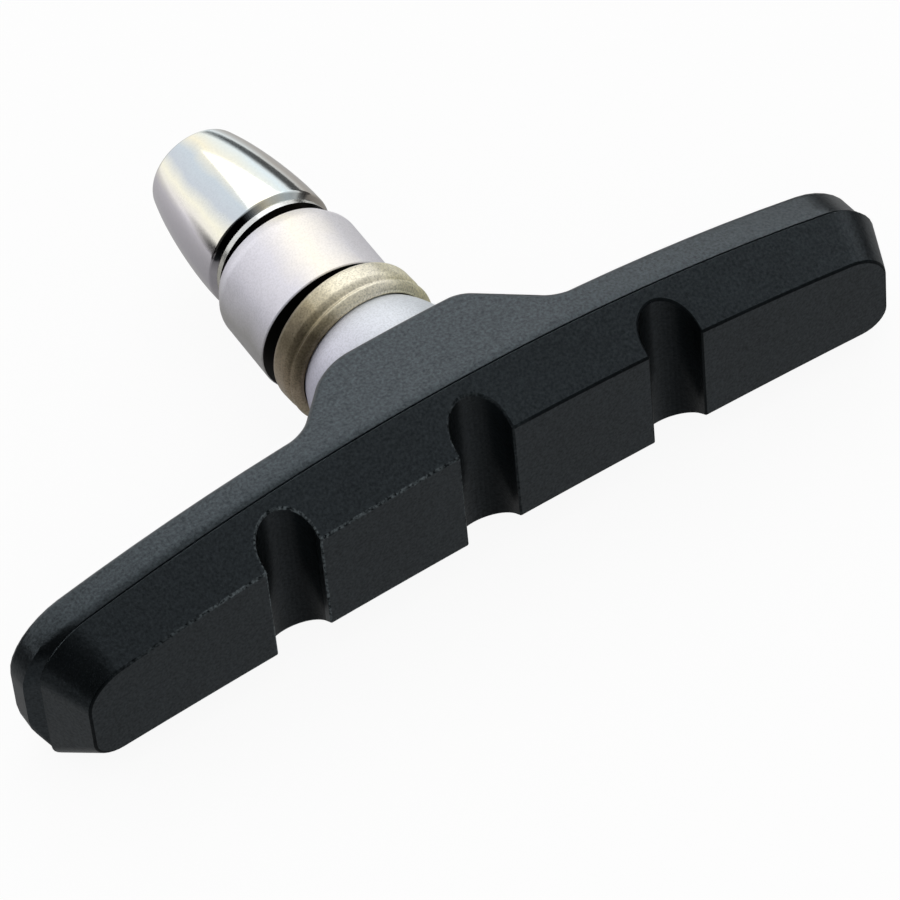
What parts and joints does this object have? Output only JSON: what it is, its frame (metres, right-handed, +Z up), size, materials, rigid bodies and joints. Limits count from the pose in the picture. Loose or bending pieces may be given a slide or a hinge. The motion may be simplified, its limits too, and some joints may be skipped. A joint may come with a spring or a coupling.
{
  "type": "bicycle rim brake pad",
  "caption": "Threaded-post rim brake shoe: an arched, grooved rubber pad on a steel post, with ball-seat washers and a tapered cap nut that clamp it to a brake arm.",
  "frame": {"origin": "on the post axis, midway between the two cup washers, where the brake arm is clamped", "axes": "+X along the length of the pad, +Y along the post from the pad to the nut, +Z up toward the arched edge of the pad"},
  "size_m": [0.0722, 0.0393, 0.0158],
  "materials": {
    "rubber": "moulded, finely grained",
    "plate_steel": "plain",
    "post_steel": "zinc plated",
    "pale_zinc": "pale zinc plated, satin",
    "yellow_zinc": "yellow zinc plated, turned",
    "satin_zinc": "zinc plated, satin",
    "bright_zinc": "bright zinc plated",
    "polished_zinc": "polished, zinc plated"
  },
  "bodies": {
    "root": {"rubber_pad": "rubber", "backing_plate": "plate_steel", "threaded_post": "post_steel", "inner_dome_washer": "pale_zinc", "inner_cup_washer": "yellow_zinc", "outer_cup_washer": "satin_zinc", "outer_dome_washer": "bright_zinc", "cap_nut": "polished_zinc"}
  },
  "joints": []
}
